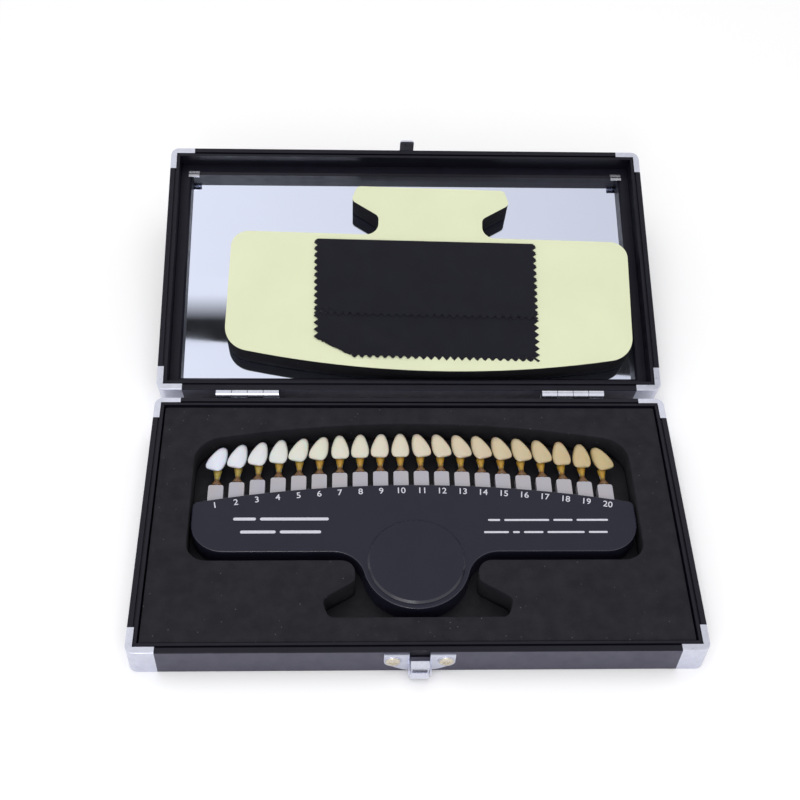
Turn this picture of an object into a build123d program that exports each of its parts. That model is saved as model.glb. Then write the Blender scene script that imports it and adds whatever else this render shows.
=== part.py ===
"""Dental shade guide in its case: twenty tooth-shaped shade tabs in a handle plate, laid in
the foam of a slim hinged case that stands open, with a mirror, the foam's cut-out blank and
a folded cloth in the lid. Millimetres, +Z up, +Y towards the hinges, origin at the middle
of the case's underside."""
from build123d import *
import math
import os

# Case: outer size, frame section and the joint between base and lid
case_width = 240.0
case_depth = 134.0
base_height = 16.0
corner_radius = 4.0
edge_round = 0.5
frame_width = 4.6
frame_wall = 1.4
rim_groove_start = 2.4
rim_groove_width = 1.0
rim_groove_depth = 1.2
rim_gap = 0.4
mitre_gap = 0.1
lid_tilt = 16.7

# Panels, held by a tongue in a groove of the frame
base_panel_thickness = 3.0
lid_panel_thickness = 1.4
panel_tongue = 1.6
tongue_thickness = 0.8
tongue_offset = 0.3
panel_clearance = 0.1

# Corner caps of bent sheet
cap_leg = 12.0
cap_sheet = 0.7
cap_flange = 3.0

# Butt hinges
hinge_spacing = 154.0
hinge_length = 29.4
hinge_knuckles = 4
hinge_offset = 2.1
knuckle_radius = 1.85
knuckle_gap = 0.3
hinge_pin_diameter = 1.6
pin_clearance = 0.05
leaf_sheet = 0.8
leaf_height = 11.0
leaf_to_axis = 2.4

# Draw latch on the front
latch_width = 29.4
latch_top_drop = 1.4
latch_end_height = 6.0
latch_plate_height = 13.0
latch_sheet = 0.8
latch_corner = 1.6
notch_width = 8.6
notch_clearance = 0.4
lever_width = 7.6
lever_sheet = 0.7
lever_height = 9.4
lever_below_pin = 1.9
lever_reach = 3.0
lever_tab_length = 2.8
lever_tab_angle = 40.0
lever_clearance = 0.25
lever_open_angle = 15.0
latch_pin_diameter = 1.2
latch_pin_drop = 9.8
ear_sheet = 0.8
ear_height = 4.4
catch_width = 7.0
catch_sheet = 0.8
catch_standing = 7.5
catch_on_lid = 7.0

# Foam insert and its recess
foam_thickness = 12.0
foam_edge_gap = 0.6
recess_side_margin = 20.8
recess_arc_radius = 487.0
recess_top = 52.0
recess_bottom = -22.2
recess_top_round = 13.0
recess_bottom_round = 9.0
neck_half_width = 26.4
neck_end = -32.6
neck_round = 6.0
tail_half_width = 40.4
tail_shoulder = -41.4
tail_end_half_width = 37.6
tail_end = -50.1
tail_round = 3.2

# Handle plate
plate_thickness = 10.0
plate_side_gap = 0.8
plate_arc_radius = 507.0
plate_top = 18.8
plate_bottom = -16.8
plate_top_round = 2.6
plate_bottom_round = 15.0
plate_edge_round = 0.6
lobe_centre = -21.8
lobe_radius = 23.4
lobe_blend = 14.0
disc_radius = 21.2
disc_height = 1.2
disc_bevel = 0.9

# Shade tabs: a handle block with a waisted stem, and the tooth on it
tab_count = 20
tab_row_end_margin = 10.3
tab_row_shift = -0.9
block_spacing = 2.5
block_thickness = 5.0
block_standing = 9.4
block_seat = 9.0
block_clearance = 0.1
block_round = 1.1
fin_width = 1.1
fin_standing = 1.8
fin_height = 5.6
stem_radius = 2.4
stem_top_radius = 1.7
stem_waist = 1.0
stem_waist_share = 0.44
stem_length = 9.0
tooth_spacing = 0.85
tooth_length = 13.0
tooth_thickness = 5.6
tooth_centre_from_arc = 23.6
tooth_rise = 2.9
tooth_pivot_offset = 1.0
tooth_tilts = (17, 13, 12, 7, 14, 13, -2, 1, 4, 0, -12, -14, -15, -16, -15, -15, -14, -5, -3, -19)

# Mirror and what lies on it
mirror_thickness = 2.0
bezel_inset = 10.0
bezel_height = 5.5
bezel_chamfer = 1.0
blank_shrink = 0.3
blank_shift = 10.6
blank_turn = -1.6
blank_from_hinge_side = 10.6
liner_thickness = 0.2
cloth_width = 109.0
cloth_depth = 63.0
cloth_thickness = 1.2
cloth_shift = 8.2
cloth_turn = -1.2
cloth_from_hinge_side = 15.2

# Sizes and places worked out from the sizes above
recess_half_width = case_width / 2 - recess_side_margin
plate_half_width = recess_half_width - plate_side_gap
tab_pitch = 2 * (plate_half_width - tab_row_end_margin) / (tab_count - 1)
block_width = tab_pitch - block_spacing
tooth_width = tab_pitch - tooth_spacing
hinge_y = case_depth / 2 + hinge_offset
hinge_z = base_height + rim_gap / 2
tilt = math.radians(lid_tilt)
lid_height = (hinge_z + hinge_offset * math.sin(tilt)) / math.cos(tilt) - rim_gap / 2
closed_rim = base_height + rim_gap
closed_top = closed_rim + lid_height
mirror_face = closed_top - lid_panel_thickness - mirror_thickness
front = -case_depth / 2
floor_z = base_panel_thickness
plate_top_z = floor_z + plate_thickness
socket_middle_z = floor_z + plate_thickness / 2
latch_top_z = base_height - latch_top_drop
notch_floor_z = closed_rim - catch_standing - notch_clearance
latch_pin_z = base_height - latch_pin_drop
latch_face = front - latch_sheet
lever_back = front - catch_sheet - lever_clearance
latch_pin_y = lever_back - lever_reach / 2
hinge_axis = Axis((0, hinge_y, hinge_z), (1, 0, 0))
latch_axis = Axis((0, latch_pin_y, latch_pin_z), (1, 0, 0))


def block(x0, x1, y0, y1, z0, z1):
    """A box between two corners."""
    middle = ((x0 + x1) / 2, (y0 + y1) / 2, (z0 + z1) / 2)
    return Pos(*middle) * Box(x1 - x0, y1 - y0, z1 - z0)


def slab(inset, z0, z1, corner=0.0):
    """The case's plan, inset all round, between two heights."""
    plan = Rectangle(case_width - 2 * inset, case_depth - 2 * inset)
    if corner > 0:
        plan = fillet(plan.vertices(), corner)
    return Pos(0, 0, z0) * extrude(plan, z1 - z0)


def outer_slab(z0, z1):
    """The case's outside between two heights, with its corners and edges rounded."""
    body = slab(0, z0, z1, corner_radius)
    return fillet(body.faces().sort_by(Axis.Z)[0].edges() + body.faces().sort_by(Axis.Z)[-1].edges(),
                  edge_round)


def ring(outer_inset, inner_inset, z0, z1):
    """A rectangular loop round the case between two insets and two heights."""
    return slab(outer_inset, z0, z1) - slab(inner_inset, z0, z1)


def rounded(sketch, corners):
    """Rounds the sketch's vertex nearest to each (x, y), with that corner's radius."""
    for x, y, radius in corners:
        corner = sketch.vertices().sort_by_distance((x, y, 0))[0]
        sketch = fillet(corner, radius)
    return sketch


def both_sides(corners):
    """The corners given for +X, and their mirror images."""
    return [(side * x, y, radius) for x, y, radius in corners for side in (-1, 1)]


def opened(shape):
    """Turns a piece of the closed lid to where the open lid stands."""
    return shape.rotate(hinge_axis, -(180 - lid_tilt))


def arc_y(x, top, radius):
    """Height of a wide arc with its crest at x = 0."""
    return top - radius + math.sqrt(radius ** 2 - x ** 2)


def crescent(half_width, top, radius, bottom):
    """A band with straight ends, a flat lower edge and a gently arched upper edge."""
    band = Pos(0, (top + bottom) / 2) * Rectangle(2 * half_width, top - bottom)
    return band & (Pos(0, top - radius) * Circle(radius))


def corner_caps(z0, z1):
    """Four bent-sheet caps over the full height of the case's corners."""
    shell = outer_slab(z0, z1)
    shell -= slab(cap_sheet, z0 + cap_sheet, z1 - cap_sheet, corner_radius - cap_sheet)
    shell -= slab(cap_flange, z0, z1)
    caps = []
    for sx in (-1, 1):
        for sy in (-1, 1):
            x, y = sx * case_width / 2, sy * case_depth / 2
            zone = Pos(x, y, (z0 + z1) / 2) * Box(2 * cap_leg, 2 * cap_leg, z1 - z0 + 2)
            caps += (shell & zone).solids()
    return caps


def mitred(frame, z0, z1):
    """Cuts a rectangular frame into four bars along its mitre lines."""
    x, y, gap = case_width / 2, case_depth / 2, mitre_gap / math.sqrt(2)
    long_bar = Polygon((-x + gap, -y), (x - gap, -y), (x - y - gap, 0), (y - x + gap, 0), align=None)
    short_bar = Polygon((-x, -y + gap), (y - x, 0), (-x, y - gap), align=None)
    bars = []
    for plan in (long_bar, short_bar):
        for turn in (0, 180):
            wedge = Pos(0, 0, z0 - 1) * extrude(Rot(0, 0, turn) * plan, z1 - z0 + 2)
            bars += (frame & wedge).solids()
    return bars


def tongued_panel(z_outer, z_inner):
    """A panel flush with the case's face, with a tongue in the frame's groove."""
    up = 1 if z_inner > z_outer else -1
    body = slab(frame_width + panel_clearance, min(z_outer, z_inner), max(z_outer, z_inner))
    near = z_outer + up * tongue_offset
    tongue = sorted((near, near + up * tongue_thickness))
    return body + slab(frame_width - panel_tongue + panel_clearance, *tongue)


def frame_ring(z_rim, z_face):
    """The frame's section carried round: hollow walls, a grooved rim and the panel's groove."""
    up = 1 if z_rim > z_face else -1
    ring_z = sorted((z_rim, z_face))
    frame = ring(0, frame_width, *ring_z) & outer_slab(*ring_z)
    groove = sorted((z_rim, z_rim - up * rim_groove_depth))
    frame -= ring(rim_groove_start, rim_groove_start + rim_groove_width, *groove)
    chamber = sorted((z_rim - up * 3 * rim_groove_depth, z_face + up * base_panel_thickness))
    frame -= ring(frame_wall, frame_width - frame_wall, *chamber)
    slot_start = z_face + up * (tongue_offset - panel_clearance)
    slot = sorted((slot_start, slot_start + up * (tongue_thickness + 2 * panel_clearance)))
    return frame - ring(frame_width - panel_tongue, frame_width, *slot)


def base_frame():
    frame = frame_ring(base_height, 0)
    frame -= block(-notch_width / 2, notch_width / 2, front, front + frame_wall / 2,
                   (notch_floor_z + latch_top_z) / 2, base_height)
    for cap in corner_caps(0, base_height):
        frame -= cap
    return mitred(frame, 0, base_height)


def lid_frame():
    frame = frame_ring(closed_rim, closed_top)
    for cap in corner_caps(closed_rim, closed_top):
        frame -= cap
    return [opened(bar) for bar in mitred(frame, closed_rim, closed_top)]


def hinge_leaves(up):
    """Both hinges' leaves of one side, modelled closed: up is -1 on the base, +1 on the lid."""
    pitch = (hinge_length + knuckle_gap) / hinge_knuckles
    first = 0 if up < 0 else 1
    bore = Rot(0, 90, 0) * Cylinder(hinge_pin_diameter / 2 + pin_clearance, case_width)
    leaves = []
    for side in (-1, 1):
        middle = side * hinge_spacing / 2
        plate_z = sorted((hinge_z + up * leaf_to_axis, hinge_z + up * leaf_height))
        leaf = block(middle - hinge_length / 2, middle + hinge_length / 2,
                     case_depth / 2, case_depth / 2 + leaf_sheet, *plate_z)
        for index in range(first, hinge_knuckles, 2):
            x0 = middle - hinge_length / 2 + index * pitch
            x1 = x0 + pitch - knuckle_gap
            web_z = sorted((hinge_z, hinge_z + up * leaf_to_axis))
            knuckle = Rot(0, 90, 0) * Cylinder(knuckle_radius, x1 - x0)
            leaf += block(x0, x1, hinge_y - knuckle_radius, case_depth / 2 + leaf_sheet, *web_z)
            leaf += Pos((x0 + x1) / 2, hinge_y, hinge_z) * knuckle
        leaves += (leaf - Pos(0, hinge_y, hinge_z) * bore).solids()
    return leaves


def hinge_pins():
    pin = Rot(0, 90, 0) * Cylinder(hinge_pin_diameter / 2, hinge_length)
    return [Pos(side * hinge_spacing / 2, hinge_y, hinge_z) * pin for side in (-1, 1)]


def latch_plate():
    """Crescent plate on the case's front, with a notch for the catch and two ears for the pin."""
    half = latch_width / 2
    low, end = latch_top_z - latch_plate_height, latch_top_z - latch_end_height
    outline = Polyline((half, end), (half, latch_top_z), (-half, latch_top_z), (-half, end))
    outline += ThreePointArc((-half, end), (0, low), (half, end))
    plate = rounded(make_face(outline), both_sides([(half, end, latch_corner)]))
    notch_depth = latch_top_z - notch_floor_z
    plate -= Pos(0, latch_top_z - notch_depth / 2) * Rectangle(notch_width, notch_depth)
    body = Pos(0, front, 0) * (Rot(90, 0, 0) * extrude(plate, latch_sheet))
    for side in (-1, 1):
        inner = lever_width / 2 + lever_clearance
        x0, x1 = sorted((side * inner, side * (inner + ear_sheet)))
        body += block(x0, x1, latch_pin_y - ear_height / 2, front,
                      latch_pin_z - ear_height / 2, latch_pin_z + ear_height / 2)
    bore = Rot(0, 90, 0) * Cylinder(latch_pin_diameter / 2 + pin_clearance, latch_width)
    return body - Pos(0, latch_pin_y, latch_pin_z) * bore


def latch_pin():
    length = lever_width + 2 * (lever_clearance + ear_sheet)
    return Pos(0, latch_pin_y, latch_pin_z) * (Rot(0, 90, 0) * Cylinder(latch_pin_diameter / 2, length))


def latch_lever():
    """Pressed lever: two arms with round heels, a hook bar, a web and a thumb tab, a little open."""
    half = lever_width / 2
    bottom, top = latch_pin_z - lever_below_pin, latch_pin_z - lever_below_pin + lever_height
    outer = lever_back - lever_reach
    lever = block(-half, half, outer, lever_back, bottom, top)
    lever -= block(-half + lever_sheet, half - lever_sheet, outer + lever_sheet, lever_back,
                   bottom, top)
    window_z = latch_pin_z
    lever -= block(-half + lever_sheet, half - lever_sheet, outer, lever_back,
                   window_z, top - 2 * lever_sheet)
    lever += block(-half, half, outer, lever_back, top - 2 * lever_sheet, top)
    tab = Box(lever_width, lever_tab_length, lever_sheet, align=(Align.CENTER, Align.MAX, Align.MIN))
    lever += Pos(0, outer + lever_sheet, bottom) * (Rot(lever_tab_angle, 0, 0) * tab)
    heel = block(-half, half, latch_pin_y, lever_back, bottom, latch_pin_z)
    lever -= heel - Pos(0, latch_pin_y, latch_pin_z) * (Rot(0, 90, 0) * Cylinder(lever_reach / 2, latch_width))
    bore = Rot(0, 90, 0) * Cylinder(latch_pin_diameter / 2 + pin_clearance, latch_width)
    lever -= Pos(0, latch_pin_y, latch_pin_z) * bore
    return lever.rotate(latch_axis, lever_open_angle)


def lid_catch():
    """Tongue on the lid's front wall that enters the latch plate's notch."""
    tongue = block(-catch_width / 2, catch_width / 2, front - catch_sheet, front,
                   closed_rim - catch_standing, closed_rim + catch_on_lid)
    tip = tongue.edges().filter_by(Axis.Y).group_by(Axis.Z)[0]
    return opened(chamfer(tip, catch_sheet))


def recess_plan():
    """Outline of the foam's recess, and so of the blank that was cut out of it."""
    plan = crescent(recess_half_width, recess_top, recess_arc_radius, recess_bottom)
    half = [(neck_half_width, recess_bottom + recess_top_round), (neck_half_width, neck_end),
            (tail_half_width, tail_shoulder), (tail_end_half_width, tail_end)]
    plan += Polygon(*[(-x, y) for x, y in half], *reversed(half), align=None)
    edge_y = arc_y(recess_half_width, recess_top, recess_arc_radius)
    return rounded(plan, both_sides([
        (recess_half_width, edge_y, recess_top_round),
        (recess_half_width, recess_bottom, recess_bottom_round),
        (neck_half_width, recess_bottom, neck_round),
        (neck_half_width, neck_end, tail_round),
        (tail_half_width, tail_shoulder, tail_round),
        (tail_end_half_width, tail_end, tail_round)]))


def foam_insert():
    foam = slab(frame_width + foam_edge_gap, floor_z, floor_z + foam_thickness)
    return foam - Pos(0, 0, floor_z) * extrude(recess_plan(), foam_thickness)


def tab_places():
    """Each tab's number, its x and the y of the plate's edge there."""
    for index in range(tab_count):
        x = (index - (tab_count - 1) / 2) * tab_pitch + tab_row_shift
        yield index, x, arc_y(x, plate_top, plate_arc_radius)


def guide_plate():
    """Crescent handle plate with a raised round grip, and a socket for each tab's block."""
    plan = crescent(plate_half_width, plate_top, plate_arc_radius, plate_bottom)
    plan += Pos(0, lobe_centre) * Circle(lobe_radius)
    joint_x = math.sqrt(lobe_radius ** 2 - (plate_bottom - lobe_centre) ** 2)
    edge_y = arc_y(plate_half_width, plate_top, plate_arc_radius)
    plan = rounded(plan, both_sides([
        (plate_half_width, edge_y, plate_top_round),
        (plate_half_width, plate_bottom, plate_bottom_round),
        (joint_x, plate_bottom, lobe_blend)]))
    plate = Pos(0, 0, floor_z) * extrude(plan, plate_thickness)
    plate = fillet(plate.faces().sort_by(Axis.Z)[-1].edges(), plate_edge_round)
    disc = Pos(0, lobe_centre, plate_top_z) * Cylinder(
        disc_radius, disc_height, align=(Align.CENTER, Align.CENTER, Align.MIN))
    plate += chamfer(disc.edges().filter_by(GeomType.CIRCLE).sort_by(Axis.Z)[-1], disc_bevel)
    half_socket = block_width / 2 + block_clearance
    half_height = block_thickness / 2 + block_clearance
    for index, x, y in tab_places():
        plate -= block(x - half_socket, x + half_socket, y - block_seat - block_clearance,
                       y + fin_standing, socket_middle_z - half_height, socket_middle_z + half_height)
    for index, x, y in tab_places():
        edges = (x - tab_pitch / 2, x + tab_pitch / 2) if index == 0 else (x + tab_pitch / 2,)
        for fin_x in edges:
            fin_y = arc_y(fin_x, plate_top, plate_arc_radius)
            plate += block(fin_x - fin_width / 2, fin_x + fin_width / 2, fin_y - fin_standing,
                           fin_y + fin_standing, socket_middle_z - fin_height / 2,
                           socket_middle_z + fin_height / 2)
    return plate


def stem(x, y):
    """Waisted stem from the block's shoulder into the tooth, round about the Y axis."""
    waist_y = stem_waist_share * stem_length
    flare = (stem_waist + 0.3 * (stem_radius - stem_waist), 0.3 * waist_y)
    profile = Polyline((stem_waist, waist_y), (stem_top_radius, stem_length), (0, stem_length),
                       (0, 0), (stem_radius, 0))
    profile += ThreePointArc((stem_radius, 0), flare, (stem_waist, waist_y))
    body = revolve(make_face(profile), Axis.Y)
    return Pos(x, y, socket_middle_z) * body


def tooth(x, y, lean):
    """An incisor, broad edge down and neck up, leaning sideways as it is set on its stem."""
    half = tooth_length / 2
    stations = ((-half, 0.86, 0.26, 0.00), (-0.86 * half, 0.98, 0.42, 0.01),
                (-0.50 * half, 1.00, 0.66, 0.02), (0.15 * half, 0.90, 0.94, 0.04),
                (0.72 * half, 0.66, 0.96, 0.02), (half, 0.32, 0.56, -0.04))
    sections = []
    for along, wide, thick, lift in stations:
        a, b = tooth_width * wide / 2, tooth_thickness * thick / 2
        shoulder = 0.62 * a
        outline = ThreePointArc((-shoulder, b * 0.8), (0, b), (shoulder, b * 0.8))
        outline += ThreePointArc((shoulder, b * 0.8), (a, 0), (shoulder, -b * 0.8))
        outline += ThreePointArc((shoulder, -b * 0.8), (0, -b), (-shoulder, -b * 0.8))
        outline += ThreePointArc((-shoulder, -b * 0.8), (-a, 0), (-shoulder, b * 0.8))
        plane = Plane((0, along, tooth_thickness * lift), x_dir=(-1, 0, 0), z_dir=(0, 1, 0))
        sections.append(plane * make_face(outline))
    crown = Pos(0, tooth_pivot_offset, 0) * loft(sections)
    place = Pos(x, y - tooth_pivot_offset, socket_middle_z + tooth_rise)
    return place * (Rot(0, 0, -lean) * crown)


def shade_tab(x, y, crown):
    """Handle block in its socket with its stem, which ends against the tooth."""
    length = block_seat + block_standing
    body = block(x - block_width / 2, x + block_width / 2, y - block_seat, y + block_standing,
                 socket_middle_z - block_thickness / 2, socket_middle_z + block_thickness / 2)
    shoulders = body.edges().filter_by(Axis.Z).group_by(Axis.Y)[-1]
    body = fillet(shoulders, min(block_round, length / 4))
    body += stem(x, y + block_standing)
    return (body - crown).solids().sort_by(Axis.Y)[0]


def lid_place(shape, shift, from_hinge_side, turn):
    """Lays a flat shape, drawn with its hinge-side edge on y = 0, on the closed lid's inside."""
    turned = Rot(0, 0, turn) * shape
    low = turned.bounding_box().min.Y
    return Pos(shift, case_depth / 2 - from_hinge_side + low, 0) * (Rot(180, 0, 0) * turned)


def mirror():
    return opened(slab(frame_width + panel_clearance, mirror_face, mirror_face + mirror_thickness))


def mirror_bezel():
    """Loop of square strip that holds the mirror down, its inner top edge bevelled."""
    loop = ring(frame_width + panel_clearance, bezel_inset, mirror_face - bezel_height, mirror_face)
    rim = loop.faces().sort_by(Axis.Z)[0].inner_wires()[0].edges()
    return opened(chamfer(rim, bezel_chamfer))


def blank_solid(z0, z1):
    """The cut-out blank's plan between two heights of the closed lid, as it lies on the mirror."""
    plan = offset(recess_plan(), -blank_shrink, kind=Kind.INTERSECTION)
    plan = Rot(0, 0, 180) * plan
    flat = lid_place(extrude(plan, z1 - z0), blank_shift, blank_from_hinge_side, blank_turn)
    return opened(Pos(0, 0, z1) * flat)


def cleaning_cloth(z1):
    flat = extrude(Pos(0, cloth_depth / 2) * Rectangle(cloth_width, cloth_depth), cloth_thickness)
    return opened(Pos(0, 0, z1) * lid_place(flat, cloth_shift, cloth_from_hinge_side, cloth_turn))


def build():
    """Every piece by its node's name."""
    nodes = {
        "base_frame": base_frame(),
        "base_corners": corner_caps(0, base_height),
        "base_panel": tongued_panel(0, floor_z),
        "foam_insert": foam_insert(),
        "guide_plate": guide_plate(),
        "latch_plate": latch_plate(),
        "latch_pin": latch_pin(),
        "latch_lever": latch_lever(),
        "hinge_base_leaves": hinge_leaves(-1),
        "hinge_pins": hinge_pins(),
        "hinge_lid_leaves": [opened(leaf) for leaf in hinge_leaves(1)],
        "lid_frame": lid_frame(),
        "lid_corners": [opened(cap) for cap in corner_caps(closed_rim, closed_top)],
        "lid_panel": opened(tongued_panel(closed_top, closed_top - lid_panel_thickness)),
        "lid_catch": lid_catch(),
        "mirror": mirror(),
        "mirror_bezel": mirror_bezel(),
        "foam_blank": blank_solid(mirror_face - foam_thickness, mirror_face),
    }
    liner_z = mirror_face - foam_thickness
    nodes["release_liner"] = blank_solid(liner_z - liner_thickness, liner_z)
    nodes["cleaning_cloth"] = cleaning_cloth(liner_z - liner_thickness)
    for index, x, y in tab_places():
        crown = tooth(x, y + tooth_centre_from_arc, tooth_tilts[index % len(tooth_tilts)])
        nodes[f"tooth_{index + 1:02d}"] = crown
        nodes[f"tab_{index + 1:02d}"] = shade_tab(x, y, crown)
    return nodes


def main():
    os.makedirs("parts", exist_ok=True)
    for name, shape in build().items():
        if isinstance(shape, list):
            shape = Compound(children=[Part(piece.wrapped) for piece in shape])
        export_step(shape, f"parts/{name}.step")


if __name__ == "__main__":
    main()
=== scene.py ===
"""Looks for the cased dental shade guide: finishes for every CAD piece, the modelled foam,
crowns, stems, folded cloth, printed numbers, screws and mirror clips, and the studio round
it. In metres."""

import math

import bmesh
import bpy
import numpy as np
from mathutils import Matrix, Vector, geometry, noise


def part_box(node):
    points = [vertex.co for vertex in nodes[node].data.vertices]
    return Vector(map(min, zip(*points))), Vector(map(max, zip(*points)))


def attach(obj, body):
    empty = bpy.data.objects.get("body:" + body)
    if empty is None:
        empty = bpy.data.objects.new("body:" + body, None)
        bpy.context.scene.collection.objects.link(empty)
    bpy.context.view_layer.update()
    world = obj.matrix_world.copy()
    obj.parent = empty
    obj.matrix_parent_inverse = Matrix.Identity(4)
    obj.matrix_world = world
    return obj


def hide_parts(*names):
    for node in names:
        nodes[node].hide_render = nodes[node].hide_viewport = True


bl_info = {
    "name": "Dental Shade Guide Looks",
    "version": (1, 0, 0),
    "blender": (4, 5, 0),
    "location": "3D View > Sidebar > Shade Guide",
    "description": "Finishes, soft pieces, print, fasteners and studio for the cased shade guide",
    "category": "Object",
}

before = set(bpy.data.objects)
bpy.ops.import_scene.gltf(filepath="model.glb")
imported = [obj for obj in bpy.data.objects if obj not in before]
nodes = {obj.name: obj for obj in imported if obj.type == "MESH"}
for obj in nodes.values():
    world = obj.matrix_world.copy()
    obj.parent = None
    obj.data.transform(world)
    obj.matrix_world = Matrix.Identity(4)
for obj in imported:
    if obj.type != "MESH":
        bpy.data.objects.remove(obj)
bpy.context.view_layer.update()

MM = 0.001
TAB_COUNT = sum(name.startswith("tab_") for name in nodes)
PLATE_TOP = max(v.co.z for v in nodes["guide_plate"].data.vertices if v.co.y > 0)


def shown(red, green, blue):
    """A colour as it looks on a screen, 0 to 255, as the linear values that shaders take."""
    values = []
    for part in (red / 255, green / 255, blue / 255):
        values.append(part / 12.92 if part <= 0.04045 else ((part + 0.055) / 1.055) ** 2.4)
    return tuple(values)


def colour_option(name, description, *screen):
    return bpy.props.FloatVectorProperty(
        name=name, description=description, subtype="COLOR", size=3, min=0, max=1,
        default=shown(*screen))


def length_option(name, description, millimetres):
    return bpy.props.FloatProperty(
        name=name, description=description, unit="LENGTH", subtype="DISTANCE", min=0,
        precision=5, default=millimetres * MM)


def number_option(name, description, value):
    return bpy.props.FloatProperty(name=name, description=description, default=value)


class ShadeGuideColours(bpy.types.PropertyGroup):
    """Colours of the case, its contents and the shade tabs."""
    trim: colour_option("Case Trim", "Black moulding round the case", 20, 19, 30)
    # Case Walls: the black moulding's outer upright walls, painted lighter as a painted reflection
    # of the bright floor
    painted_reflection_wall: colour_option("Case Walls", "Satin outer walls of the case", 62, 60, 80)
    panel: colour_option("Panels", "Board of the base and the lid", 19, 18, 24)
    metal: colour_option("Bright Metal", "Plated caps, latch and hinges", 212, 214, 228)
    pin: colour_option("Pins", "Steel of the hinge and latch pins", 150, 150, 158)
    screw: colour_option("Screws", "Screws of the latch", 214, 206, 190)
    clip: colour_option("Clips", "Clips at the mirror's corners", 190, 190, 198)
    foam: colour_option("Foam", "Charcoal foam of the insert and its blank", 38, 38, 43)
    liner: colour_option("Release Paper", "Backing paper left on the blank", 220, 225, 190)
    cloth: colour_option("Cloth", "Folded cleaning cloth", 21, 21, 31)
    # Cloth Edge: lighter cut edges, partly lint and partly a painted highlight where the edges
    # catch the light
    lint_and_highlight: colour_option("Cloth Edge", "Cut edges of the cloth", 66, 66, 78)
    glass: colour_option("Mirror", "Tint of the mirror's reflection", 222, 228, 247)
    plate: colour_option("Handle Plate", "Moulded plate that holds the tabs", 30, 30, 45)
    ink: colour_option("Print", "Numbers and rules on the plate", 205, 205, 216)
    block: colour_option("Tab Blocks", "Light grey blocks of the tabs", 169, 168, 175)
    stem_light: colour_option("Stem", "Amber stem where it is thick", 176, 138, 52)
    stem_pale: colour_option("Pale Stem", "Stem of the lightest tab", 160, 142, 70)
    stem_dark: colour_option("Stem Foot", "Stem where it meets its block", 104, 74, 42)
    shade_a: colour_option("Lightest Shade", "Tooth on the first tab", 218, 223, 238)
    shade_b: colour_option("Light Shade", "Tooth a quarter along the row", 214, 214, 201)
    shade_c: colour_option("Middle Shade", "Tooth half way along the row", 212, 203, 184)
    shade_d: colour_option("Dark Shade", "Tooth three quarters along", 200, 184, 152)
    shade_e: colour_option("Darkest Shade", "Tooth on the last tab", 190, 170, 124)


class ShadeGuideSizes(bpy.types.PropertyGroup):
    """Sizes of the modelled pieces."""
    foam_step: length_option("Foam Mesh", "Spacing of the foam's mesh", 1.5)
    foam_lip: length_option("Foam Lip", "Rounding of the foam's cut edges", 0.5)
    foam_unevenness: length_option("Foam Unevenness", "Height of the foam's waves", 0.12)
    cloth_layer: length_option("Cloth Thickness", "Thickness of one layer", 0.42)
    cloth_upper: length_option("Upper Layer", "Length of the layer folded over", 42.0)
    cloth_tuck_side: length_option("Tucked Corner, Side", "Fold's start up the side", 11.0)
    cloth_tuck_edge: length_option("Tucked Corner, Edge", "Fold's start along the edge", 21.0)
    pinking_pitch: length_option("Pinking Pitch", "Spacing of the pinked teeth", 3.7)
    pinking_depth: length_option("Pinking Depth", "Depth of the pinked teeth", 2.3)
    cloth_margin: length_option("Cloth Margin", "Reach of the fold past the plain cloth", 1.9)
    number_height: length_option("Number Height", "Height of the tab numbers", 3.2)
    number_drop: length_option("Number Place", "Middle of a number below the edge", 2.6)
    print_thickness: length_option("Print Thickness", "Raised height of the ink", 0.03)
    screw_head: length_option("Screw Head", "Diameter of the latch screws", 6.2)
    screw_cup: length_option("Screw Cup", "Diameter of the cups under them", 7.4)
    screw_spacing: length_option("Screw Spacing", "Between the latch screws", 22.0)
    screw_drop: length_option("Screw Place", "Screws below the latch plate's top", 5.2)
    screw_height: length_option("Screw Height", "Height of the latch screws' heads", 0.75)
    clip_width: length_option("Clip Width", "Width of the mirror clips", 5.4)
    clip_inset: length_option("Clip Inset", "Clips in from the bezel's ends", 6.5)
    clip_reach: length_option("Clip Reach", "Clips in from the bezel's far edge", 5.7)
    tooth_width: length_option("Tooth Width", "Greatest width of a tooth", 8.25)
    tooth_height: length_option("Tooth Height", "Height of the face above the middle", 2.9)
    tooth_depth: length_option("Tooth Depth", "Depth of the back below the middle", 2.4)
    lobe_height: length_option("Lobe Height", "Relief of a tooth's three lobes", 0.1)
    tooth_lean: number_option("Tooth Lean", "Slant of the crowns, as a share of their tilt", 0.38)


class ShadeGuideStudio(bpy.types.PropertyGroup):
    """Floor, lamps and camera."""
    floor: colour_option("Floor", "Pale studio floor", 252, 252, 253)
    floor_glow: number_option("Floor Glow", "Extra light of the floor as the camera sees it", 0.09)
    overhead: number_option("Overhead Lamp", "Power of the large soft lamp, in watts", 7.2)
    front_lamp: number_option("Front Lamp", "Power of the front soft lamp, in watts", 2.4)
    edge_lamp: number_option("Edge Lamp", "Power of the small lamp that makes highlights", 1.5)
    ambient: number_option("Ambient", "Strength of the light from all round", 0.56)
    focal_length: number_option("Focal Length", "In millimetres, on a 36 mm sensor", 58.46)
    camera_pitch: number_option("Camera Pitch", "Degrees up from straight down", 39.341)
    camera_swing: number_option("Camera Swing", "Degrees to the side", -2.233)
    camera_roll: number_option("Camera Roll", "Degrees about the view", 0.120)


def colours():
    return bpy.context.scene.shade_guide_colours


def sizes():
    return bpy.context.scene.shade_guide_sizes


def studio():
    return bpy.context.scene.shade_guide_studio


def blend(a, b, share):
    return tuple(x + (y - x) * share for x, y in zip(a, b))


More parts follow.
